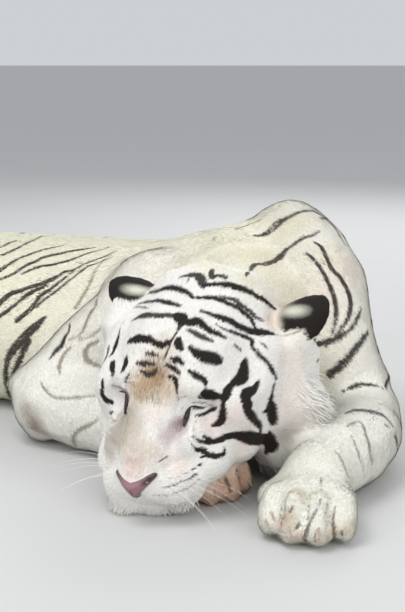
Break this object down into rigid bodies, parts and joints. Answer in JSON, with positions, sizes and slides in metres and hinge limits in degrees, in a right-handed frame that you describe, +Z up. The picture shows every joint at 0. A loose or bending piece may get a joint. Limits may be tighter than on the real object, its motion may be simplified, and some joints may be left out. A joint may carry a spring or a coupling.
{
  "type": "white tiger",
  "caption": "Life-size still model of a white tiger asleep on its belly, head turned to one side and resting on a folded forearm, the other forearm laid forwards",
  "frame": {"origin": "on the floor under the middle of the chest, on the flat face of the belly that rests on the floor", "axes": "+Z up; the trunk runs towards -X and a little +Y from the shoulders, so X is the longest extent; the head lies towards -Y"},
  "size_m": [1.604, 1.3604, 0.4071],
  "materials": {
    "white_coat": "short dense fur, cream white with dark brown stripes",
    "ear_coat": "short black fur with a white spot on the back",
    "eyelid": "thin matt bare skin",
    "nose_leather": "moist pebbled pink skin",
    "claw_horn": "smooth horn"
  },
  "bodies": {
    "root": {"chest": "white_coat", "claw_fore_left_1": "claw_horn", "claw_fore_left_2": "claw_horn", "claw_fore_left_3": "claw_horn", "claw_fore_left_4": "claw_horn", "claw_fore_right_1": "claw_horn", "claw_fore_right_2": "claw_horn", "claw_fore_right_3": "claw_horn", "claw_fore_right_4": "claw_horn", "claw_hind_left_1": "claw_horn", "claw_hind_left_2": "claw_horn", "claw_hind_left_3": "claw_horn", "claw_hind_left_4": "claw_horn", "claw_hind_right_1": "claw_horn", "claw_hind_right_2": "claw_horn", "claw_hind_right_3": "claw_horn", "claw_hind_right_4": "claw_horn", "ear_left": "ear_coat", "ear_right": "ear_coat", "eye_left": "eyelid", "eye_right": "eyelid", "forearm_left": "white_coat", "forearm_right": "white_coat", "forepaw_left": "white_coat", "forepaw_right": "white_coat", "head": "white_coat", "hindpaw_left": "white_coat", "hindpaw_right": "white_coat", "loin": "white_coat", "neck": "white_coat", "nose": "nose_leather", "shank_left": "white_coat", "shank_right": "white_coat", "tail_1": "white_coat", "tail_2": "white_coat", "tail_3": "white_coat", "tail_4": "white_coat", "thigh_left": "white_coat", "thigh_right": "white_coat", "upper_arm_left": "white_coat", "upper_arm_right": "white_coat"}
  },
  "joints": []
}
